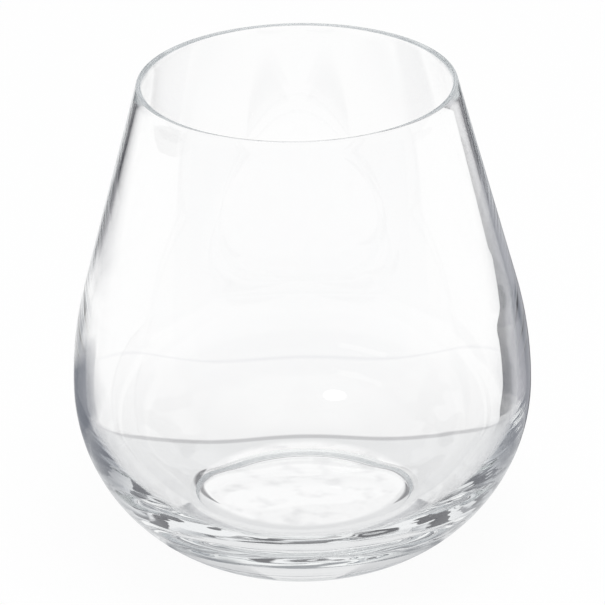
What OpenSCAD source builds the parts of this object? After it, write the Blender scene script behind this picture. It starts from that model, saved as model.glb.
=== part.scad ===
// A stemless water glass: a round-bellied tumbler blown from one gather of clear glass.
// The glass is a solid of revolution about Z, and it stands on the plane z = 0.
// Its wall is thin at the rim, grows on the way down, and fills the heel above a shallow punt.

/* [Overall] */
// Height from the table to the top of the rim
height = 97; // [88:0.5:112]
// Outside diameter at the belly, the widest place
belly_diameter = 92; // [86:0.5:100]
// Outside diameter at the rim
rim_diameter = 63.2; // [56:0.2:70]
// Diameter of the foot, where the curve of the bowl would meet the table
foot_diameter = 52; // [46:0.5:58]

/* [Outside curves] */
// Radius of the curve from the belly down to the foot
bowl_radius = 36.5; // [34:0.5:40]
// Radius of the curve from the belly up to the straight taper
shoulder_radius = 79; // [60:1:100]
// Radius that softens the edge of the foot
foot_edge_radius = 1; // [0.5:0.1:2]

/* [Glass] */
// Thickness of the rounded rim
rim_thickness = 1.1; // [0.8:0.1:1.8]
// Thickness of the wall where the taper runs into the shoulder
shoulder_wall = 1.5; // [1.2:0.1:2.2]
// Thickness of the wall at the widest place of the cavity
belly_wall = 2; // [1.6:0.1:3.2]
// Radius of the cavity's lower curve: the larger it is, the more glass stays in the heel
cavity_bowl_radius = 29; // [26:0.5:33]
// Thickness of the base in the middle, from the punt to the cavity floor
base_thickness = 3.8; // [2.5:0.1:8]
// Radius of the gently dished floor of the cavity
floor_dish_radius = 300; // [150:10:600]

/* [Punt] */
// Depth of the hollow under the foot
punt_depth = 0.6; // [0.3:0.1:1.5]
// Radius of the curve between the hollow's roof and the standing ring
punt_edge_radius = 5; // [3:0.5:8]
// Width of the flat ring that the glass stands on
standing_ring = 1.5; // [1:0.1:5]

/* [Hidden] */
$fn = 240;
// How far neighbouring curves bite into each other, so that they join in a clean crossing
seam = 0.001;

// A point on a circle, at an angle counted from the outward direction
function on_circle(centre, radius, angle) = centre + radius * [cos(angle), sin(angle)];

// Outside: the bowl's arc and the shoulder's arc meet at the belly
belly_r = belly_diameter / 2;
foot_r = foot_diameter / 2;
bowl_x = belly_r - bowl_radius;
belly_z = sqrt(pow(bowl_radius, 2) - pow(foot_r - bowl_x, 2));
bowl_centre = [bowl_x, belly_z];
shoulder_centre = [belly_r - shoulder_radius, belly_z];

// Rim: a full round that both faces of the wall run into
rim_round = rim_thickness / 2;
rim_centre = [rim_diameter / 2 - rim_round, height - rim_round];

// Taper: a straight line along the shoulder's arc and the outer side of the rim, a seam inside both
rim_step = rim_centre - shoulder_centre;
taper_out = atan2(rim_step.y, rim_step.x) - acos((shoulder_radius - rim_round) / norm(rim_step));
shoulder_top = on_circle(shoulder_centre, shoulder_radius - seam, taper_out);
rim_out = on_circle(rim_centre, rim_round - seam, taper_out);
taper_middle_z = (shoulder_top.y + rim_out.y) / 2;

// Inner taper: it leans away from the outer one so that the wall grows to shoulder_wall
taper_in = taper_out - atan((shoulder_wall - rim_thickness) / norm(rim_out - shoulder_top));
rim_in = on_circle(rim_centre, rim_round - seam, taper_in + 180);

// Cavity floor, and the curve that turns it up into the wall
floor_z = punt_depth + base_thickness;
floor_centre = [0, floor_z + floor_dish_radius];
cavity_r = belly_r - belly_wall;
cavity_bowl_x = cavity_r - cavity_bowl_radius;
cavity_z = floor_centre.y
    - sqrt(pow(floor_dish_radius + seam - cavity_bowl_radius, 2) - pow(cavity_bowl_x, 2));
cavity_bowl_centre = [cavity_bowl_x, cavity_z];
floor_end = floor_centre + (floor_dish_radius + rim_thickness)
    * (cavity_bowl_centre - floor_centre) / norm(cavity_bowl_centre - floor_centre);

// Cavity shoulder: the arc that is upright at cavity_z and runs into the inner taper
cavity_shoulder_radius = ((rim_centre.x - cavity_r) * cos(taper_in)
    + (rim_centre.y - cavity_z) * sin(taper_in) - rim_round + 2 * seam) / (1 - cos(taper_in));
cavity_shoulder_centre = [cavity_r - cavity_shoulder_radius, cavity_z];
cavity_top = on_circle(cavity_shoulder_centre, cavity_shoulder_radius - seam, taper_in);

// Foot edge: a small round between the bowl's arc and the table
foot_edge_z = foot_edge_radius - seam;
foot_edge_x = bowl_x + sqrt(pow(bowl_radius - foot_edge_z, 2) - pow(belly_z - foot_edge_z, 2));
foot_edge_centre = [foot_edge_x, foot_edge_z];
foot_edge_angle = atan2(foot_edge_z - belly_z, foot_edge_x - bowl_x);
foot_corner_reach = 3 * foot_edge_radius;

// Punt: a flat roof with a curved edge that comes down inside the standing ring
punt_r = foot_edge_x - standing_ring;
punt_edge_run = sqrt(pow(punt_edge_radius, 2) - pow(punt_edge_radius - punt_depth, 2));
punt_roof_r = punt_r - punt_edge_run;

// The wedge that holds the sharp corner of the foot and the round that replaces it
module foot_corner() {
    middle = (foot_edge_angle - 90) / 2;
    polygon([
        foot_edge_centre,
        on_circle(foot_edge_centre, foot_corner_reach, -90),
        on_circle(foot_edge_centre, 2 * foot_corner_reach, middle),
        on_circle(foot_edge_centre, foot_corner_reach, foot_edge_angle)
    ]);
}

module bowl_section() {
    difference() {
        intersection() {
            translate(bowl_centre) circle(bowl_radius);
            square([belly_r, belly_z]);
        }
        difference() {
            foot_corner();
            translate(foot_edge_centre) circle(foot_edge_radius);
        }
    }
}

module shoulder_section() {
    intersection() {
        translate(shoulder_centre) circle(shoulder_radius);
        translate([0, belly_z]) square([belly_r, taper_middle_z - belly_z]);
    }
}

module outside_section() {
    bowl_section();
    shoulder_section();
    polygon([[0, belly_z], shoulder_top, rim_out, rim_in]);
}

module cavity_section() {
    // Dished floor, out to the line through the centres of the two arcs
    intersection() {
        translate(floor_centre) circle(floor_dish_radius);
        polygon([[0, cavity_z], [0, floor_z - rim_thickness], floor_end, cavity_bowl_centre]);
    }
    // Curve from the floor up to the widest place
    intersection() {
        translate(cavity_bowl_centre) circle(cavity_bowl_radius);
        square([belly_r, cavity_z]);
    }
    // Shoulder of the cavity
    intersection() {
        translate(cavity_shoulder_centre) circle(cavity_shoulder_radius);
        translate([0, cavity_z]) square([belly_r, taper_middle_z - cavity_z]);
    }
    // Inner taper, up to the mouth
    polygon([[0, cavity_z], cavity_top, rim_in, [0, rim_in.y]]);
}

module punt_section() {
    square([punt_roof_r, punt_depth]);
    intersection() {
        translate([punt_roof_r, punt_depth - punt_edge_radius]) circle(punt_edge_radius);
        translate([punt_roof_r, 0]) square([punt_edge_radius, punt_depth]);
    }
}

module glass() {
    color([0.93, 0.95, 0.96, 0.4])
        rotate_extrude() {
            difference() {
                outside_section();
                cavity_section();
                punt_section();
            }
            translate(rim_centre) circle(rim_round);
        }
}

glass();
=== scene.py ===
# %% [markdown]
# # A stemless water glass
#
# The object is one piece of clear glass: a round belly, a wall that tapers in to a thin rim, and a
# heel of thicker glass over a shallow hollow under the foot. Clear glass has no colour of its own to
# show, so most of what the eye reads as "glass" is the table and the room, bent by its two surfaces.
# The lesson therefore builds three things with equal care: the true inner and outer surface, the
# glass itself, and the plain studio that the glass bends.

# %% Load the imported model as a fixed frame
import math

import bmesh
import bpy
from mathutils import Matrix, Vector


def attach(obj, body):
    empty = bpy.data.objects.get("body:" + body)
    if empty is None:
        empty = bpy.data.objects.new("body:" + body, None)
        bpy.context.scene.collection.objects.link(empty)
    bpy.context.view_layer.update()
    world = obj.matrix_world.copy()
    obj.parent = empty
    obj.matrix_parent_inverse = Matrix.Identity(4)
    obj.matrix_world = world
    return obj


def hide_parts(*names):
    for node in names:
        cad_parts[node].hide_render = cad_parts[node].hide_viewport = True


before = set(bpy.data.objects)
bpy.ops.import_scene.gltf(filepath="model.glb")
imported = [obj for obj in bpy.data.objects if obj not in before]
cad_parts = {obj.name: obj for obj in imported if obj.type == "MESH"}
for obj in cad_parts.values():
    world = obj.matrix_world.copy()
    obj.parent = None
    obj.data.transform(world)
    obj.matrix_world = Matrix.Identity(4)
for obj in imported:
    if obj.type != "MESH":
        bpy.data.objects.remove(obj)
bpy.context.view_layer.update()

# %% [markdown]
# ## The sizes of the glass
#
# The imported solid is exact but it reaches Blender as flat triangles. Each flat would bend light its
# own way and the glass would look cut, so the piece is turned again here, from the same sizes, with
# far finer steps. The sizes are written in millimetres as a maker would note them, and one factor
# brings them to Blender's metres.

# %% Sizes, in metres
MM = 0.001
height = 97 * MM
belly_r = 92 * MM / 2
rim_r = 63.2 * MM / 2
foot_r = 52 * MM / 2
bowl_radius = 36.5 * MM
shoulder_radius = 79 * MM
foot_edge_radius = 1 * MM
rim_round = 1.1 * MM / 2
shoulder_wall = 1.5 * MM
belly_wall = 2 * MM
cavity_bowl_radius = 29 * MM
base_thickness = 3.8 * MM
floor_dish_radius = 300 * MM
punt_depth = 0.6 * MM
punt_edge_radius = 5 * MM
standing_ring = 1.5 * MM
print("height", height, "belly radius", belly_r, "rim radius", rim_r)

# %% [markdown]
# ## The outline of the wall
#
# A glass blower's drawing of a tumbler is half a section: arcs and straight lines that run into each
# other without a corner. The section is walked once, from the middle of the hollow under the foot,
# out over the standing ring, up the outside, over the rim, down the inside, and in to the middle of
# the floor. Every arc is given by its centre, its radius and two angles, so no point is typed by hand.

# %% Arcs and lines of the section


def arc(centre, radius, start, end, steps):
    """Points along an arc in the section, as (distance from the axis, height)."""
    angles = [start + (end - start) * step / steps for step in range(steps + 1)]
    return [(centre[0] + radius * math.cos(a), centre[1] + radius * math.sin(a)) for a in angles]


def line(start, end, steps):
    """Evenly spaced points along a straight line in the section."""
    shares = [step / steps for step in range(steps + 1)]
    return [tuple(a + (b - a) * share for a, b in zip(start, end)) for share in shares]


UP = math.pi / 2
DOWN = -math.pi / 2
bowl_x = belly_r - bowl_radius
belly_z = math.sqrt(bowl_radius ** 2 - (foot_r - bowl_x) ** 2)
bowl_centre = (bowl_x, belly_z)
shoulder_centre = (belly_r - shoulder_radius, belly_z)
rim_centre = (rim_r - rim_round, height - rim_round)
print("the widest place is at z =", round(belly_z, 5))

# %% [markdown]
# ## Where the lines touch the arcs
#
# The straight taper touches both the shoulder's arc and the outer side of the rim. Two circles and
# the line that touches them give a right triangle, so its angle comes from one arc cosine. The inner
# taper leans a little less, because the wall grows on its way down, and that angle then fixes the
# radius of the cavity's shoulder.

# %% Taper, cavity, foot edge and punt
SHOULDER_STEPS = 36
rim_step = (rim_centre[0] - shoulder_centre[0], rim_centre[1] - shoulder_centre[1])
taper_out = math.atan2(rim_step[1], rim_step[0]) - math.acos(
    (shoulder_radius - rim_round) / math.hypot(*rim_step))
shoulder_arc = arc(shoulder_centre, shoulder_radius, 0, taper_out, SHOULDER_STEPS)
rim_out = arc(rim_centre, rim_round, taper_out, taper_out, 1)[0]
taper_length = math.dist(rim_out, shoulder_arc[-1])
taper_in = taper_out - math.atan((shoulder_wall - 2 * rim_round) / taper_length)

floor_z = punt_depth + base_thickness
floor_centre = (0, floor_z + floor_dish_radius)
cavity_r = belly_r - belly_wall
cavity_bowl_x = cavity_r - cavity_bowl_radius
cavity_z = floor_centre[1] - math.sqrt(
    (floor_dish_radius - cavity_bowl_radius) ** 2 - cavity_bowl_x ** 2)
floor_end_angle = math.atan2(cavity_z - floor_centre[1], cavity_bowl_x)
cavity_shoulder_radius = (
    (rim_centre[0] - cavity_r) * math.cos(taper_in)
    + (rim_centre[1] - cavity_z) * math.sin(taper_in) - rim_round) / (1 - math.cos(taper_in))
cavity_shoulder_centre = (cavity_r - cavity_shoulder_radius, cavity_z)

foot_edge_x = bowl_x + math.sqrt(
    (bowl_radius - foot_edge_radius) ** 2 - (belly_z - foot_edge_radius) ** 2)
foot_edge_centre = (foot_edge_x, foot_edge_radius)
foot_edge_angle = math.atan2(foot_edge_radius - belly_z, foot_edge_x - bowl_x)
punt_r = foot_edge_x - standing_ring
punt_edge_run = math.sqrt(punt_edge_radius ** 2 - (punt_edge_radius - punt_depth) ** 2)
punt_edge_centre = (punt_r - punt_edge_run, punt_depth - punt_edge_radius)
punt_edge_angle = math.atan2(-punt_edge_centre[1], punt_edge_run)
print("taper outside and inside, degrees:", math.degrees(taper_out), math.degrees(taper_in))

# %% [markdown]
# ## Turning the section
#
# The section is a chain of points. It could be swept around the axis with the spin operator, or with
# a Screw modifier that climbs by nothing as it turns, as a potter's wheel does. The modifier is quick
# and keeps the number of steps in one place. The two ends of the chain lie on the axis, where the
# sweep leaves a stack of equal points, so the modifier also merges equal points.

# %% Section to mesh
TURN_STEPS = 256
ROOF_STEPS = 14
PUNT_EDGE_STEPS = 10
RING_STEPS = 4
FOOT_EDGE_STEPS = 6
BOWL_STEPS = 64
TAPER_STEPS = 20
RIM_STEPS = 18
FLOOR_STEPS = 10
SAME_POINT = rim_round / 100
inside_taper_end = arc(cavity_shoulder_centre, cavity_shoulder_radius, taper_in, taper_in, 1)[0]
rim_in = arc(rim_centre, rim_round, taper_in + math.pi, taper_in + math.pi, 1)[0]
runs = [
    line((0, punt_depth), (punt_edge_centre[0], punt_depth), ROOF_STEPS),
    arc(punt_edge_centre, punt_edge_radius, UP, punt_edge_angle, PUNT_EDGE_STEPS),
    line((punt_r, 0), (foot_edge_x, 0), RING_STEPS),
    arc(foot_edge_centre, foot_edge_radius, DOWN, foot_edge_angle, FOOT_EDGE_STEPS),
    arc(bowl_centre, bowl_radius, foot_edge_angle, 0, BOWL_STEPS),
    shoulder_arc,
    line(shoulder_arc[-1], rim_out, TAPER_STEPS),
    arc(rim_centre, rim_round, taper_out, taper_in + math.pi, RIM_STEPS),
    line(rim_in, inside_taper_end, TAPER_STEPS),
    arc(cavity_shoulder_centre, cavity_shoulder_radius, taper_in, 0, SHOULDER_STEPS),
    arc((cavity_bowl_x, cavity_z), cavity_bowl_radius, 0, floor_end_angle, BOWL_STEPS),
    arc(floor_centre, floor_dish_radius, floor_end_angle, DOWN, FLOOR_STEPS),
]
section = runs[0] + [point for run in runs[1:] for point in run[1:]]
outline_mesh = bpy.data.meshes.new("section")
outline_mesh.from_pydata(
    [(r, 0, z) for r, z in section], [(n, n + 1) for n in range(len(section) - 1)], [])
outline = bpy.data.objects.new("section", outline_mesh)
bpy.context.scene.collection.objects.link(outline)
wheel = outline.modifiers.new("wheel", "SCREW")
wheel.axis = "Z"
wheel.angle = 2 * math.pi
wheel.steps = TURN_STEPS
wheel.render_steps = TURN_STEPS
wheel.use_merge_vertices = True
wheel.merge_threshold = SAME_POINT
print("points in the section:", len(section))

# %% [markdown]
# ## One closed skin
#
# The modifier's result becomes a mesh of its own, and every face is turned to look outwards. The skin
# has to be closed, with the real thickness between its inner and outer face, because the ray tracer
# takes the space between them as solid glass. A single shell with a painted thickness would bend
# nothing. The piece then takes the place of the plain solid and rides on the same body.

# %% The tumbler as a piece
turned = outline.evaluated_get(bpy.context.evaluated_depsgraph_get())
tumbler_mesh = bpy.data.meshes.new_from_object(turned)
tumbler_mesh.name = "tumbler"
bpy.data.objects.remove(outline)
skin = bmesh.new()
skin.from_mesh(tumbler_mesh)
bmesh.ops.recalc_face_normals(skin, faces=skin.faces)
for face in skin.faces:
    face.smooth = True
print("closed skin:", all(edge.is_manifold for edge in skin.edges), "volume:", skin.calc_volume())
skin.to_mesh(tumbler_mesh)
skin.free()
tumbler = bpy.data.objects.new("tumbler", tumbler_mesh)
bpy.context.scene.collection.objects.link(tumbler)
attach(tumbler, "root")
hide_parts("glass")
print("faces:", len(tumbler_mesh.polygons))

# %% [markdown]
# ## Clear glass
#
# Soda-lime glass bends light by an index of about 1.5 and swallows almost none of it. The colour, the
# index and the transmission are the same everywhere, so they sit on the shader's own sockets, and so
# does the faint green-grey that shows only where one looks through a lot of glass. The volume node
# takes it, because a tint on the surface would colour thin and thick places alike.

# %% Body of the glass
WHITE = (1, 1, 1, 1)
GLASS_INDEX = 1.5
GLASS_TINT = (0.90, 0.96, 0.95, 1)
TINT_DENSITY = 2.5
clear_glass = bpy.data.materials.new("clear_glass")
clear_glass.use_nodes = True
glass_tree = clear_glass.node_tree
surface = glass_tree.nodes["Principled BSDF"]
surface.inputs["Base Color"].default_value = WHITE
surface.inputs["IOR"].default_value = GLASS_INDEX
surface.inputs["Transmission Weight"].default_value = 1
tint = glass_tree.nodes.new("ShaderNodeVolumeAbsorption")
tint.inputs["Color"].default_value = GLASS_TINT
tint.inputs["Density"].default_value = TINT_DENSITY
glass_tree.links.new(tint.outputs["Volume"], glass_tree.nodes["Material Output"].inputs["Volume"])
tumbler_mesh.materials.append(clear_glass)
print("finish:", clear_glass.name, "index", GLASS_INDEX)

# %% [markdown]
# ## Waves in the heel, streaks in the wall
#
# Hand-finished glass is never quite even. The heel and the base cool last and keep low ripples that
# run around the glass: they break what shines through them into dark and bright slivers. The wall
# keeps only faint upright streaks from the blowing. A texture of the real depth could be modelled in
# the mesh, but it would need millions of faces, so both go in as bump, from noise that is squeezed
# along the height for the ripples and drawn out along it for the streaks.

# %% Ripples of the heel
RIPPLES_PER_METRE = 70
RIPPLE_SQUEEZE = 3.2
RIPPLE_DETAIL = 1
RIPPLE_DEPTH = 0.07 * MM
RIPPLE_FULL_Z = 8 * MM
RIPPLE_END_Z = 20 * MM
where = glass_tree.nodes.new("ShaderNodeTexCoord")
squeeze = glass_tree.nodes.new("ShaderNodeMapping")
squeeze.inputs["Scale"].default_value = (1, 1, RIPPLE_SQUEEZE)
ripples = glass_tree.nodes.new("ShaderNodeTexNoise")
ripples.inputs["Scale"].default_value = RIPPLES_PER_METRE
ripples.inputs["Detail"].default_value = RIPPLE_DETAIL
ripple_height = glass_tree.nodes.new("ShaderNodeSeparateXYZ")
ripple_fade = glass_tree.nodes.new("ShaderNodeMapRange")
ripple_fade.interpolation_type = "SMOOTHSTEP"
ripple_fade.inputs["From Min"].default_value = RIPPLE_FULL_Z
ripple_fade.inputs["From Max"].default_value = RIPPLE_END_Z
ripple_fade.inputs["To Min"].default_value = 1
ripple_fade.inputs["To Max"].default_value = 0
ripple_bump = glass_tree.nodes.new("ShaderNodeBump")
ripple_bump.inputs["Distance"].default_value = RIPPLE_DEPTH
glass_tree.links.new(where.outputs["Object"], squeeze.inputs["Vector"])
glass_tree.links.new(squeeze.outputs["Vector"], ripples.inputs["Vector"])
glass_tree.links.new(where.outputs["Object"], ripple_height.inputs["Vector"])
glass_tree.links.new(ripple_height.outputs["Z"], ripple_fade.inputs["Value"])
glass_tree.links.new(ripple_fade.outputs["Result"], ripple_bump.inputs["Strength"])
glass_tree.links.new(ripples.outputs["Fac"], ripple_bump.inputs["Height"])
print("ripples fade out between z =", RIPPLE_FULL_Z, "and", RIPPLE_END_Z)

# %% [markdown]
# ## Streaks and polish
#
# The wall was drawn upwards while it was soft, so its unevenness is drawn out into upright streaks, far
# shallower than the ripples. Fire polishing leaves the surface mirror-smooth, apart from places that
# washing and handling have made a touch duller. One noise, drawn out along the height, bumps the wall
# on top of the ripples. A second, even noise sets the roughness, so that no place is quite perfect.

# %% Streaks of the wall, and the polish
STREAKS_PER_METRE = 180
STREAK_DRAW = 0.04
STREAK_DETAIL = 0
STREAK_DEPTH = 0.003 * MM
STREAK_STRENGTH = 0.6
POLISH_PER_METRE = 60
POLISH_NOISE = (0.5, 0.8)
POLISH_ROUGHNESS = (0.0, 0.012)
draw_out = glass_tree.nodes.new("ShaderNodeMapping")
draw_out.inputs["Scale"].default_value = (1, 1, STREAK_DRAW)
streaks = glass_tree.nodes.new("ShaderNodeTexNoise")
streaks.inputs["Scale"].default_value = STREAKS_PER_METRE
streaks.inputs["Detail"].default_value = STREAK_DETAIL
streak_bump = glass_tree.nodes.new("ShaderNodeBump")
streak_bump.inputs["Distance"].default_value = STREAK_DEPTH
streak_bump.inputs["Strength"].default_value = STREAK_STRENGTH
polish = glass_tree.nodes.new("ShaderNodeTexNoise")
polish.inputs["Scale"].default_value = POLISH_PER_METRE
polish_range = glass_tree.nodes.new("ShaderNodeMapRange")
polish_range.inputs["From Min"].default_value = POLISH_NOISE[0]
polish_range.inputs["From Max"].default_value = POLISH_NOISE[1]
polish_range.inputs["To Min"].default_value = POLISH_ROUGHNESS[0]
polish_range.inputs["To Max"].default_value = POLISH_ROUGHNESS[1]
glass_tree.links.new(where.outputs["Object"], draw_out.inputs["Vector"])
glass_tree.links.new(draw_out.outputs["Vector"], streaks.inputs["Vector"])
glass_tree.links.new(streaks.outputs["Fac"], streak_bump.inputs["Height"])
glass_tree.links.new(ripple_bump.outputs["Normal"], streak_bump.inputs["Normal"])
glass_tree.links.new(streak_bump.outputs["Normal"], surface.inputs["Normal"])
glass_tree.links.new(where.outputs["Object"], polish.inputs["Vector"])
glass_tree.links.new(polish.outputs["Fac"], polish_range.inputs["Value"])
glass_tree.links.new(polish_range.outputs["Result"], surface.inputs["Roughness"])
print("roughness between", POLISH_ROUGHNESS)

# %% [markdown]
# ## The table
#
# The eye sees a plain white ground with the soft shadow of the glass. Through the glass one sees more:
# a light grey table top that ends just behind the foot in a thin darker edge, and white beyond it. The
# floor is one large face. Its white shines by itself at strength 1, so that it stays white, and a
# share of ordinary matt white takes the shadow.

# %% Floor
FLOOR_REACH = 10
FLOOR_DROP = 0.2 * MM
floor_mesh = bpy.data.meshes.new("floor")
floor_mesh.from_pydata(
    [(x * FLOOR_REACH, y * FLOOR_REACH, -FLOOR_DROP) for x, y in ((-1, -1), (1, -1), (1, 1), (-1, 1))],
    [], [(0, 1, 2, 3)])
floor = bpy.data.objects.new("floor", floor_mesh)
bpy.context.scene.collection.objects.link(floor)
print("floor:", floor.name, "reaches", FLOOR_REACH, "m each way")

# %% [markdown]
# ## What the glass sees of the table
#
# A colour ramp runs over the distance behind the axis: grey table, dark edge, white, and one more
# faint line further back. The edge shows as a shallow wave, so a cosine over the width shifts the ramp.
# The table is narrow, so its tones fade to white on the left and the right. They are tones of the
# table, not of the glass, so they stay on the table when the eye moves.

# %% Tones along the table
TONES_END_Y = 100 * MM
TABLE_TONE = (0.82, 0.825, 0.83, 1)
EDGE_TONE = (0.56, 0.56, 0.57, 1)
BEYOND_TONE = (0.93, 0.93, 0.93, 1)
FAINT_TONE = (0.92, 0.92, 0.93, 1)
TABLE_EDGE_Y = 30.2 * MM
TABLE_EDGE_WIDTH = 1.2 * MM
EDGE_SOFT = 0.5 * MM
FAINT_LINE_Y = 72 * MM
FAINT_LINE_WIDTH = 1.5 * MM
EDGE_WAVE = 1.0 * MM
EDGE_WAVE_LENGTH = 42 * MM
TABLE_HALF = 52 * MM
TABLE_SIDE_SOFT = 18 * MM
tone_stops = (
    (TABLE_EDGE_Y - EDGE_SOFT, TABLE_TONE),
    (TABLE_EDGE_Y, EDGE_TONE),
    (TABLE_EDGE_Y + TABLE_EDGE_WIDTH, EDGE_TONE),
    (TABLE_EDGE_Y + TABLE_EDGE_WIDTH + EDGE_SOFT, BEYOND_TONE),
    (FAINT_LINE_Y - FAINT_LINE_WIDTH, WHITE),
    (FAINT_LINE_Y, FAINT_TONE),
    (FAINT_LINE_Y + FAINT_LINE_WIDTH, WHITE),
)
print("tones along the table:", len(tone_stops))

# %% [markdown]
# ## A ramp over the table
#
# The tones could be painted into a picture, but a ramp needs no picture and stays sharp at any size. A
# small helper puts a list of tones on a ramp, because the cards and the room need the same. The place
# on the table then finds its tone: its distance behind the axis, shifted by the wave, picks it from the
# ramp, and its distance to the side blends it into white. A Mix node has a set of sockets for each kind
# of value, and those for colours are known by their number.

# %% Table finish
MIX_FIRST = 6
MIX_SECOND = 7
MIX_RESULT = 2


def fill_ramp(ramp, stops):
    """Put a list of (position, colour) on a colour ramp node."""
    elements = ramp.color_ramp.elements
    while len(elements) > 1:
        elements.remove(elements[-1])
    elements[0].position = stops[0][0]
    elements[0].color = stops[0][1]
    for position, colour in stops[1:]:
        elements.new(position).color = colour


white_table = bpy.data.materials.new("white_table")
white_table.use_nodes = True
floor_mesh.materials.append(white_table)
table_tree = white_table.node_tree
table_tree.nodes.clear()
place = table_tree.nodes.new("ShaderNodeNewGeometry")
across = table_tree.nodes.new("ShaderNodeSeparateXYZ")
wave_turn = table_tree.nodes.new("ShaderNodeMath")
wave_turn.operation = "MULTIPLY"
wave_turn.inputs[1].default_value = 2 * math.pi / EDGE_WAVE_LENGTH
wave = table_tree.nodes.new("ShaderNodeMath")
wave.operation = "COSINE"
wave_shift = table_tree.nodes.new("ShaderNodeMath")
wave_shift.operation = "MULTIPLY_ADD"
wave_shift.inputs[1].default_value = -EDGE_WAVE
along = table_tree.nodes.new("ShaderNodeMapRange")
along.inputs["From Max"].default_value = TONES_END_Y
tone_ramp = table_tree.nodes.new("ShaderNodeValToRGB")
fill_ramp(tone_ramp, [(y / TONES_END_Y, tone) for y, tone in tone_stops])
sideways = table_tree.nodes.new("ShaderNodeMath")
sideways.operation = "ABSOLUTE"
side_fade = table_tree.nodes.new("ShaderNodeMapRange")
side_fade.inputs["From Min"].default_value = TABLE_HALF
side_fade.inputs["From Max"].default_value = TABLE_HALF + TABLE_SIDE_SOFT
table_or_white = table_tree.nodes.new("ShaderNodeMix")
table_or_white.data_type = "RGBA"
table_or_white.inputs[MIX_SECOND].default_value = WHITE
table_tree.links.new(place.outputs["Position"], across.inputs["Vector"])
table_tree.links.new(across.outputs["X"], sideways.inputs[0])
table_tree.links.new(sideways.outputs["Value"], side_fade.inputs["Value"])
table_tree.links.new(side_fade.outputs["Result"], table_or_white.inputs["Factor"])
table_tree.links.new(tone_ramp.outputs["Color"], table_or_white.inputs[MIX_FIRST])
table_tree.links.new(across.outputs["X"], wave_turn.inputs[0])
table_tree.links.new(wave_turn.outputs["Value"], wave.inputs[0])
table_tree.links.new(wave.outputs["Value"], wave_shift.inputs[0])
table_tree.links.new(across.outputs["Y"], wave_shift.inputs[2])
table_tree.links.new(wave_shift.outputs["Value"], along.inputs["Value"])
table_tree.links.new(along.outputs["Result"], tone_ramp.inputs["Fac"])
print("the table ends", TABLE_EDGE_Y, "m behind the axis")

# %% [markdown]
# ## The bright patch
#
# The base of a glass gathers light as a weak lens does, so the table under it is brighter than around
# it, and mottled, because the base isn't quite even. Tracing that light would take millions of rays.
# A disc of a brighter, mottled tone on the table does the same: the distance from one point gives the
# disc, and noise gives the mottling.

# %% The bright patch under the foot
PATCH_R = 23 * MM
PATCH_BACK = 6.5 * MM
PATCH_SOFT = 1 * MM
PATCH_DARK = (0.86, 0.86, 0.865, 1)
PATCH_MOTTLE = (0.32, 0.48)
PATCH_SPOTS_PER_METRE = 170
patch_reach = table_tree.nodes.new("ShaderNodeVectorMath")
patch_reach.operation = "DISTANCE"
patch_reach.inputs[1].default_value = (0, PATCH_BACK, -FLOOR_DROP)
patch_share = table_tree.nodes.new("ShaderNodeMapRange")
patch_share.inputs["From Min"].default_value = PATCH_R + PATCH_SOFT
patch_share.inputs["From Max"].default_value = PATCH_R - PATCH_SOFT
patch_spots = table_tree.nodes.new("ShaderNodeTexNoise")
patch_spots.inputs["Scale"].default_value = PATCH_SPOTS_PER_METRE
patch_tone = table_tree.nodes.new("ShaderNodeValToRGB")
fill_ramp(patch_tone, [(PATCH_MOTTLE[0], PATCH_DARK), (PATCH_MOTTLE[1], WHITE)])
with_patch = table_tree.nodes.new("ShaderNodeMix")
with_patch.data_type = "RGBA"
table_tree.links.new(place.outputs["Position"], patch_reach.inputs[0])
table_tree.links.new(patch_reach.outputs["Value"], patch_share.inputs["Value"])
table_tree.links.new(place.outputs["Position"], patch_spots.inputs["Vector"])
table_tree.links.new(patch_spots.outputs["Fac"], patch_tone.inputs["Fac"])
table_tree.links.new(patch_share.outputs["Result"], with_patch.inputs["Factor"])
table_tree.links.new(table_or_white.outputs[MIX_RESULT], with_patch.inputs[MIX_FIRST])
table_tree.links.new(patch_tone.outputs["Color"], with_patch.inputs[MIX_SECOND])
print("patch radius:", PATCH_R)

# %% [markdown]
# ## Two answers from one floor
#
# A ground lit until it turns white would also pour light into the glass and wash its shading out. So
# the floor answers by the kind of ray, which the Light Path node knows. A ray straight from the eye
# meets plain white with a share of matt white that takes the shadow. A ray that has been through the
# glass, or was mirrored by it, meets the tones of the table.

# %% The white that the eye sees
FLOOR_GLOW = 0.96
FLOOR_MATT = (0.9, 0.9, 0.9, 1)
table_out = table_tree.nodes.new("ShaderNodeOutputMaterial")
bent_view = table_tree.nodes.new("ShaderNodeEmission")
white_glow = table_tree.nodes.new("ShaderNodeEmission")
white_glow.inputs["Color"].default_value = WHITE
matt = table_tree.nodes.new("ShaderNodeBsdfDiffuse")
matt.inputs["Color"].default_value = FLOOR_MATT
eye_view = table_tree.nodes.new("ShaderNodeMixShader")
eye_view.inputs["Fac"].default_value = FLOOR_GLOW
by_ray = table_tree.nodes.new("ShaderNodeMixShader")
table_rays = table_tree.nodes.new("ShaderNodeLightPath")
table_tree.links.new(with_patch.outputs[MIX_RESULT], bent_view.inputs["Color"])
table_tree.links.new(matt.outputs["BSDF"], eye_view.inputs[1])
table_tree.links.new(white_glow.outputs["Emission"], eye_view.inputs[2])
table_tree.links.new(table_rays.outputs["Is Camera Ray"], by_ray.inputs["Fac"])
table_tree.links.new(bent_view.outputs["Emission"], by_ray.inputs[1])
table_tree.links.new(eye_view.outputs["Shader"], by_ray.inputs[2])
table_tree.links.new(by_ray.outputs["Shader"], table_out.inputs["Surface"])
print("floor finish:", white_table.name)

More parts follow.
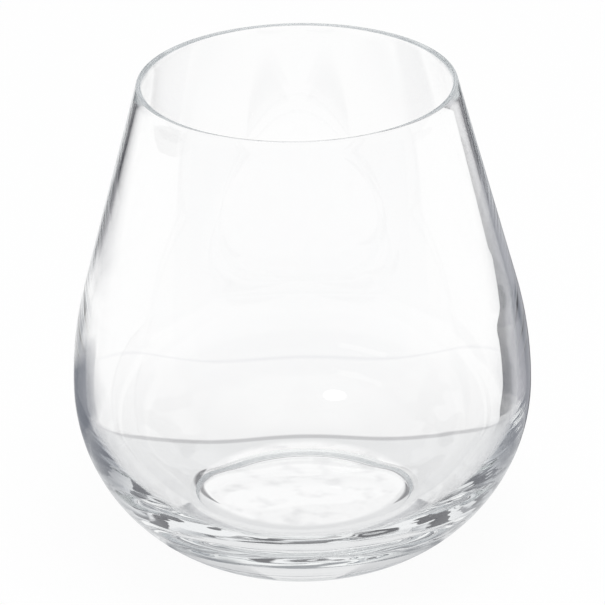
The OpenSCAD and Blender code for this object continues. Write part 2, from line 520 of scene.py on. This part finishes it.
# %% [markdown]
# ## Cards beside the glass
#
# Glass photographed in a plain white box disappears. What draws its edges is a trick of the studio:
# the white ground is kept narrow and dark cards lie beside it, just out of the picture. Where the wall
# turns away from the eye it bends the ray far to the side, so the cards show there as dark lines. First
# come the tones of each card, from its inner edge at 0 to its outer edge at 1. The outer edge is white,
# so that a card has no hard end when it is seen from the side.

# %% Tones of the cards
RIGHT_NEAR = (
    (0.00, (0.02, 0.02, 0.03, 1)),
    (0.03, (0.03, 0.03, 0.04, 1)),
    (0.05, (0.30, 0.30, 0.32, 1)),
    (0.09, (0.50, 0.50, 0.53, 1)),
    (0.22, (0.52, 0.52, 0.55, 1)),
    (0.36, (0.42, 0.43, 0.46, 1)),
    (0.60, (0.45, 0.46, 0.49, 1)),
    (1.00, WHITE),
)
RIGHT_MIDDLE = (
    (0.00, (0.11, 0.11, 0.12, 1)),
    (0.03, (0.32, 0.32, 0.34, 1)),
    (0.06, (0.52, 0.52, 0.55, 1)),
    (0.14, (0.60, 0.60, 0.63, 1)),
    (0.24, (0.30, 0.31, 0.34, 1)),
    (0.60, (0.36, 0.37, 0.40, 1)),
    (1.00, WHITE),
)
RIGHT_FAR = (
    (0.00, (0.45, 0.45, 0.46, 1)),
    (0.05, (0.60, 0.60, 0.62, 1)),
    (0.14, (0.55, 0.55, 0.57, 1)),
    (0.17, (0.05, 0.05, 0.06, 1)),
    (0.37, (0.05, 0.05, 0.06, 1)),
    (0.43, (0.48, 0.48, 0.50, 1)),
    (1.00, WHITE),
)
LEFT_NEAR = (
    (0.00, (0.62, 0.62, 0.64, 1)),
    (0.12, (0.31, 0.32, 0.35, 1)),
    (0.70, (0.33, 0.34, 0.37, 1)),
    (1.00, WHITE),
)
LEFT_BACK = (
    (0.00, WHITE),
    (0.07, (0.90, 0.90, 0.91, 1)),
    (0.10, (0.16, 0.16, 0.17, 1)),
    (0.18, (0.16, 0.16, 0.17, 1)),
    (0.24, (0.46, 0.46, 0.48, 1)),
    (0.80, (0.62, 0.62, 0.64, 1)),
    (1.00, WHITE),
)
LEFT_FAR = (
    (0.00, WHITE),
    (0.12, (0.85, 0.85, 0.86, 1)),
    (0.16, (0.05, 0.05, 0.06, 1)),
    (0.44, (0.05, 0.05, 0.06, 1)),
    (0.60, (0.40, 0.40, 0.42, 1)),
    (0.80, (0.62, 0.62, 0.64, 1)),
    (1.00, WHITE),
)
print("darkest tone on the right:", min(tone[0] for share, tone in RIGHT_NEAR + RIGHT_MIDDLE + RIGHT_FAR))

# %% [markdown]
# ## A strip that shades from edge to edge
#
# A card could be a plane with a picture on it. Here it is a strip between two rows of points. The tone
# runs over its width and its strength along it, so the mesh carries both as a texture coordinate: a
# colour ramp turns the first into grey, and the second mixes in a see-through shader, so that the strip
# fades into the table. The eye and the shadows don't see the strip, only rays that the glass bends.

# %% Helper for strips
CARD_LIFT = 0.1 * MM


def shaded_strip(name, inner, outer, strengths, tones):
    """A flat strip that only bent rays see: its tone runs over its width, its strength along it."""
    count = len(inner)
    mesh = bpy.data.meshes.new(name)
    mesh.from_pydata(
        [(x, y, CARD_LIFT - FLOOR_DROP) for x, y in inner + outer], [],
        [(n, n + 1, count + n + 1, count + n) for n in range(count - 1)])
    shading = mesh.uv_layers.new(name="shading")
    for loop in mesh.loops:
        edge, row = divmod(loop.vertex_index, count)
        shading.data[loop.index].uv = (edge, strengths[row])
    strip = bpy.data.objects.new(name, mesh)
    bpy.context.scene.collection.objects.link(strip)
    finish = bpy.data.materials.new(name)
    finish.use_nodes = True
    strip_tree = finish.node_tree
    strip_tree.nodes.clear()
    strip_out = strip_tree.nodes.new("ShaderNodeOutputMaterial")
    glow = strip_tree.nodes.new("ShaderNodeEmission")
    strip_place = strip_tree.nodes.new("ShaderNodeTexCoord")
    strip_run = strip_tree.nodes.new("ShaderNodeSeparateXYZ")
    grey = strip_tree.nodes.new("ShaderNodeValToRGB")
    fill_ramp(grey, tones)
    see_through = strip_tree.nodes.new("ShaderNodeBsdfTransparent")
    fade = strip_tree.nodes.new("ShaderNodeMixShader")
    strip_tree.links.new(strip_place.outputs["UV"], strip_run.inputs["Vector"])
    strip_tree.links.new(strip_run.outputs["X"], grey.inputs["Fac"])
    strip_tree.links.new(strip_run.outputs["Y"], fade.inputs["Fac"])
    strip_tree.links.new(grey.outputs["Color"], glow.inputs["Color"])
    strip_tree.links.new(see_through.outputs["BSDF"], fade.inputs[1])
    strip_tree.links.new(glow.outputs["Emission"], fade.inputs[2])
    strip_tree.links.new(fade.outputs["Shader"], strip_out.inputs["Surface"])
    mesh.materials.append(finish)
    strip.visible_camera = False
    strip.visible_diffuse = False
    strip.visible_shadow = False


print("strips lie", CARD_LIFT, "m above the table")

# %% [markdown]
# ## Laying the cards
#
# Each card is a side, right or left, and a few rows. A row gives the distance from the axis, the
# distance behind it and the width, all in millimetres, and the strength there. The cards lean outwards
# towards the back, where the wall bends the ray less, and the near ones fade in beside the foot.

# %% Cards
CARDS = (
    ("card_right_near", 1,
     ((45.8, 20, 170, 0), (46.4, 31.5, 170, 1), (47.4, 40, 170, 1), (50.2, 52, 170, 1),
      (57.9, 115, 170, 1)),
     RIGHT_NEAR),
    ("card_right_middle", 1, ((57.9, 115, 250, 1), (68.1, 212, 250, 1)), RIGHT_MIDDLE),
    ("card_right_far", 1, ((68.1, 212, 250, 1), (90, 420, 250, 1)), RIGHT_FAR),
    ("card_left_near", -1,
     ((47.5, 20, 78, 0), (49.5, 31.5, 82, 1), (51.8, 40, 82, 1), (55.2, 50, 82, 1), (59.6, 74, 85, 1),
      (61.6, 86, 85, 0)),
     LEFT_NEAR),
    ("card_left_back", -1, ((73.2, 154, 250, 0), (75.2, 166, 250, 1), (83.5, 215, 250, 1)), LEFT_BACK),
    ("card_left_far", -1, ((83.5, 215, 250, 1), (118, 420, 250, 1)), LEFT_FAR),
)
for name, side, rows, tones in CARDS:
    inner = [(side * x * MM, y * MM) for x, y, width, strength in rows]
    outer = [(side * (x + width) * MM, y * MM) for x, y, width, strength in rows]
    strengths = [strength for x, y, width, strength in rows]
    shaded_strip(name, inner, outer, strengths, tones)
print("cards:", [card[0] for card in CARDS])

# %% [markdown]
# ## Dark slivers around the foot
#
# The heel curls under the glass, so little light reaches the table in front of the foot, left and
# right of the middle, and the belly shades the table at both sides. The standing ring throws two small
# dark crescents beside the bright patch. A crescent could be cut from a disc with a second disc. Here
# it is the same strip as the cards, with an inner edge along an arc and an outer edge that swells from
# nothing and back, so it ends in two tips. A row gives the arc's centre and radius, the swelling, the
# two ends in degrees, and whether the strength fades towards the tips as well.

# %% Crescents
CRESCENT_STEPS = 24
HEEL_SHADE = (
    (0.0, (0.62, 0.63, 0.65, 1)),
    (0.4, (0.26, 0.27, 0.29, 1)),
    (0.6, (0.26, 0.27, 0.29, 1)),
    (1.0, (0.80, 0.80, 0.81, 1)),
)
RING_SHADE = (
    (0.0, (0.70, 0.70, 0.71, 1)),
    (0.3, (0.20, 0.20, 0.21, 1)),
    (0.7, (0.20, 0.20, 0.21, 1)),
    (1.0, (0.70, 0.70, 0.71, 1)),
)
SIDE_SHADE = (
    (0.0, TABLE_TONE),
    (0.4, (0.56, 0.57, 0.59, 1)),
    (0.6, (0.56, 0.57, 0.59, 1)),
    (1.0, WHITE),
)
CRESCENTS = (
    ("side_shade_left", (0, 6 * MM), 46 * MM, 46 * MM, 144, 216, True, SIDE_SHADE),
    ("side_shade_right", (0, 6 * MM), 46 * MM, 72 * MM, -36, 36, True, SIDE_SHADE),
    ("heel_shade_left", (0, 0), 27 * MM, 16 * MM, 196, 258, False, HEEL_SHADE),
    ("heel_shade_right", (0, 0), 27 * MM, 16 * MM, 282, 344, False, HEEL_SHADE),
    ("ring_shade_left", (0, 8 * MM), 22.6 * MM, 2.4 * MM, 160, 215, False, RING_SHADE),
    ("ring_shade_right", (0, 4 * MM), 22.6 * MM, 2.6 * MM, -30, 4, False, RING_SHADE),
)
swells = [math.sin(math.pi * step / CRESCENT_STEPS) for step in range(CRESCENT_STEPS + 1)]
for name, centre, inner_r, most, degrees_from, degrees_to, fades, tones in CRESCENTS:
    start, end = math.radians(degrees_from), math.radians(degrees_to)
    inner = arc(centre, inner_r, start, end, CRESCENT_STEPS)
    outer = []
    for step, swell in enumerate(swells):
        angle = start + (end - start) * step / CRESCENT_STEPS
        r = inner_r + most * swell
        outer.append((centre[0] + r * math.cos(angle), centre[1] + r * math.sin(angle)))
    strengths = swells if fades else [1] * len(swells)
    shaded_strip(name, inner, outer, strengths, tones)
print("crescents:", [crescent[0] for crescent in CRESCENTS])

# %% [markdown]
# ## The room
#
# Through its curved surfaces the glass sees the whole room. A studio is bright overhead and near the
# table, and darker where the walls are, and the side behind the camera differs from the far side. One
# colour ramp over the height of the direction gives each side, and the two are blended by how far the
# direction points back. The far wall also has dark posts between its bright parts, which the ripples
# of the heel break into slivers: a third ramp gives their tones, and noise says where they stand. The
# eye itself looks past all this at plain white.

# %% Tones of the room
ROOM_FRONT = (
    (0, (0.84, 0.85, 0.87, 1)),
    (8, (0.68, 0.69, 0.72, 1)),
    (14, (0.48, 0.49, 0.52, 1)),
    (17, (0.15, 0.16, 0.19, 1)),
    (29, (0.14, 0.15, 0.18, 1)),
    (33, (0.46, 0.48, 0.52, 1)),
    (38, (0.60, 0.61, 0.64, 1)),
    (48, (0.64, 0.65, 0.67, 1)),
    (60, WHITE),
)
ROOM_BACK = (
    (0, (0.41, 0.42, 0.44, 1)),
    (8, (0.41, 0.42, 0.44, 1)),
    (13, (0.24, 0.25, 0.27, 1)),
    (18, (0.60, 0.61, 0.63, 1)),
    (22, (0.90, 0.90, 0.91, 1)),
    (46, (0.92, 0.92, 0.93, 1)),
    (52, (0.22, 0.23, 0.25, 1)),
    (66, (0.22, 0.23, 0.25, 1)),
    (80, (0.95, 0.95, 0.95, 1)),
)
ROOM_POSTS = (
    (13, (0.24, 0.25, 0.27, 1)),
    (20, (0.07, 0.07, 0.08, 1)),
    (48, (0.07, 0.07, 0.08, 1)),
    (54, (0.22, 0.23, 0.25, 1)),
    (66, (0.22, 0.23, 0.25, 1)),
    (80, (0.95, 0.95, 0.95, 1)),
)
print("tones of the room:", len(ROOM_FRONT) + len(ROOM_BACK) + len(ROOM_POSTS))

# %% [markdown]
# ## The room as a world
#
# The room could be modelled with walls and lamps, or a panorama could be wrapped around the scene. A
# world made of ramps needs neither. The height of a direction is the sine of its angle, so each angle
# in the lists is turned into its sine before it goes on a ramp.

# %% Room
POSTS_SCALE = 3.5
POSTS_DETAIL = 1
POSTS_EDGE = (0.45, 0.48)
SIDE_BLEND = 0.5
room = bpy.data.worlds.new("room")
bpy.context.scene.world = room
room.use_nodes = True
room_tree = room.node_tree
backdrop = room_tree.nodes["Background"]
direction = room_tree.nodes.new("ShaderNodeTexCoord")
rise = room_tree.nodes.new("ShaderNodeSeparateXYZ")
walls = []
for stops in (ROOM_FRONT, ROOM_BACK, ROOM_POSTS):
    wall = room_tree.nodes.new("ShaderNodeValToRGB")
    fill_ramp(wall, [(math.sin(math.radians(degrees)), tone) for degrees, tone in stops])
    room_tree.links.new(rise.outputs["Z"], wall.inputs["Fac"])
    walls.append(wall)
front_wall, back_wall, post_wall = walls
posts = room_tree.nodes.new("ShaderNodeTexNoise")
posts.inputs["Scale"].default_value = POSTS_SCALE
posts.inputs["Detail"].default_value = POSTS_DETAIL
post_share = room_tree.nodes.new("ShaderNodeMapRange")
post_share.inputs["From Min"].default_value = POSTS_EDGE[1]
post_share.inputs["From Max"].default_value = POSTS_EDGE[0]
far_side = room_tree.nodes.new("ShaderNodeMix")
far_side.data_type = "RGBA"
backwards = room_tree.nodes.new("ShaderNodeMapRange")
backwards.interpolation_type = "SMOOTHSTEP"
backwards.inputs["From Min"].default_value = -SIDE_BLEND
backwards.inputs["From Max"].default_value = SIDE_BLEND
room_tone = room_tree.nodes.new("ShaderNodeMix")
room_tone.data_type = "RGBA"
room_rays = room_tree.nodes.new("ShaderNodeLightPath")
room_seen = room_tree.nodes.new("ShaderNodeMix")
room_seen.data_type = "RGBA"
room_seen.inputs[MIX_SECOND].default_value = WHITE
room_tree.links.new(direction.outputs["Generated"], rise.inputs["Vector"])
room_tree.links.new(rise.outputs["Y"], backwards.inputs["Value"])
room_tree.links.new(backwards.outputs["Result"], room_tone.inputs["Factor"])
room_tree.links.new(front_wall.outputs["Color"], room_tone.inputs[MIX_FIRST])
room_tree.links.new(direction.outputs["Generated"], posts.inputs["Vector"])
room_tree.links.new(posts.outputs["Fac"], post_share.inputs["Value"])
room_tree.links.new(post_share.outputs["Result"], far_side.inputs["Factor"])
room_tree.links.new(back_wall.outputs["Color"], far_side.inputs[MIX_FIRST])
room_tree.links.new(post_wall.outputs["Color"], far_side.inputs[MIX_SECOND])
room_tree.links.new(far_side.outputs[MIX_RESULT], room_tone.inputs[MIX_SECOND])
room_tree.links.new(room_rays.outputs["Is Camera Ray"], room_seen.inputs["Factor"])
room_tree.links.new(room_tone.outputs[MIX_RESULT], room_seen.inputs[MIX_FIRST])
room_tree.links.new(room_seen.outputs[MIX_RESULT], backdrop.inputs["Color"])
print("room:", room.name, "with", len(walls), "ramps")

# %% [markdown]
# ## A window to the left
#
# The left edge of the belly carries one white glint. It is the mirror image of something bright in front
# and to the left, so a low, wide white panel hangs there, out of the picture and facing the glass. A
# taller panel would also whiten the right edge of the belly, which is dark. A lamp would do too, but
# it would light the ground and move the shadow.

# %% Window
WINDOW_DISTANCE = 1.0
WINDOW_TURN = math.radians(-128)
WINDOW_RISE = math.radians(30.2)
WINDOW_HALF = (0.24, 0.035)
window_way = Vector((
    math.cos(WINDOW_RISE) * math.cos(WINDOW_TURN),
    math.cos(WINDOW_RISE) * math.sin(WINDOW_TURN),
    math.sin(WINDOW_RISE)))
window_mesh = bpy.data.meshes.new("window")
window_mesh.from_pydata(
    [(x * WINDOW_HALF[0], y * WINDOW_HALF[1], 0) for x, y in ((-1, -1), (1, -1), (1, 1), (-1, 1))],
    [], [(0, 1, 2, 3)])
window = bpy.data.objects.new("window", window_mesh)
window.location = window_way * WINDOW_DISTANCE
window.rotation_euler = window_way.to_track_quat("-Z", "Y").to_euler()
bpy.context.scene.collection.objects.link(window)
window_white = bpy.data.materials.new("window_white")
window_white.use_nodes = True
window_white.node_tree.nodes.clear()
window_glow = window_white.node_tree.nodes.new("ShaderNodeEmission")
window_out = window_white.node_tree.nodes.new("ShaderNodeOutputMaterial")
window_white.node_tree.links.new(window_glow.outputs["Emission"], window_out.inputs["Surface"])
window_mesh.materials.append(window_white)
window.visible_camera = False
window.visible_diffuse = False
window.visible_shadow = False
print("window at", tuple(round(v, 2) for v in window.location))

# %% [markdown]
# ## How long a ray may live
#
# In the rim and in the heel a ray bounces to and fro inside the glass many times before it leaves. A
# short limit ends it there, and what ends is black: a black line along the rim. A long limit costs
# little, because few rays need it.

# %% Light paths
LONGEST_PATH = 128
paths = bpy.context.scene.cycles
paths.max_bounces = LONGEST_PATH
paths.transmission_bounces = LONGEST_PATH
paths.glossy_bounces = LONGEST_PATH
print("bounces at most:", LONGEST_PATH)

# %% [markdown]
# ## Two lamps
#
# A large softbox overhead lights the ground evenly and gives the soft shadow. It stays out of the
# mirror images, because a big white square in the belly would hide the glass. A weaker round lamp
# high above the glass shows in the mirror images alone: it is the soft spot low on the far wall.

# %% Lamps
LAMPS = (
    ("softbox", "SQUARE", 0.5, 4.0, (0.1, -0.1, 0.9), False),
    ("spot_lamp", "DISK", 0.15, 0.2, (-0.20, -0.17, 0.87), True),
)
for name, shape, size, power, at, mirrored in LAMPS:
    lamp_data = bpy.data.lights.new(name, "AREA")
    lamp_data.shape = shape
    lamp_data.size = size
    lamp_data.energy = power
    lamp = bpy.data.objects.new(name, lamp_data)
    lamp.location = at
    lamp.rotation_euler = (-lamp.location).to_track_quat("-Z", "Y").to_euler()
    lamp.visible_glossy = mirrored
    lamp.visible_transmission = False
    bpy.context.scene.collection.objects.link(lamp)
print("lamps:", [lamp[0] for lamp in LAMPS])

# %% [markdown]
# ## The camera
#
# The outline of the photographed glass fixes the camera: it stands about ten belly widths away and
# looks down by a little under 25 degrees, rolled by a degree. The lens makes the belly as wide in the
# picture as it is in the photograph, and the shift puts the glass at the same place in the frame.

# %% Camera
FRAME_PX = 605
SENSOR_MM = 36
BELLY_PX = 460.2
AIM_PX = (301.0, 306.0)
DISTANCE_BELLIES = 10
looks_down = math.radians(24.63)
roll = math.radians(-1.05)
aim = Vector((0, 0, height / 2))
back = Vector((0, -math.cos(looks_down), math.sin(looks_down)))
spot = aim + back * DISTANCE_BELLIES * 2 * belly_r
camera_data = bpy.data.cameras.new("camera")
camera = bpy.data.objects.new("camera", camera_data)
bpy.context.scene.collection.objects.link(camera)
turn = (-back).to_track_quat("-Z", "Y").to_matrix().to_4x4() @ Matrix.Rotation(roll, 4, "Z")
camera.matrix_world = Matrix.Translation(spot) @ turn
camera_data.sensor_width = SENSOR_MM
camera_data.sensor_fit = "HORIZONTAL"
camera_data.lens = BELLY_PX * DISTANCE_BELLIES / FRAME_PX * SENSOR_MM
camera_data.shift_x = (FRAME_PX / 2 - AIM_PX[0]) / FRAME_PX
camera_data.shift_y = (AIM_PX[1] - FRAME_PX / 2) / FRAME_PX
bpy.context.scene.camera = camera
bpy.context.scene.view_settings.view_transform = "Standard"
print("lens:", round(camera_data.lens, 1), "mm, distance:", round((spot - aim).length, 3), "m")
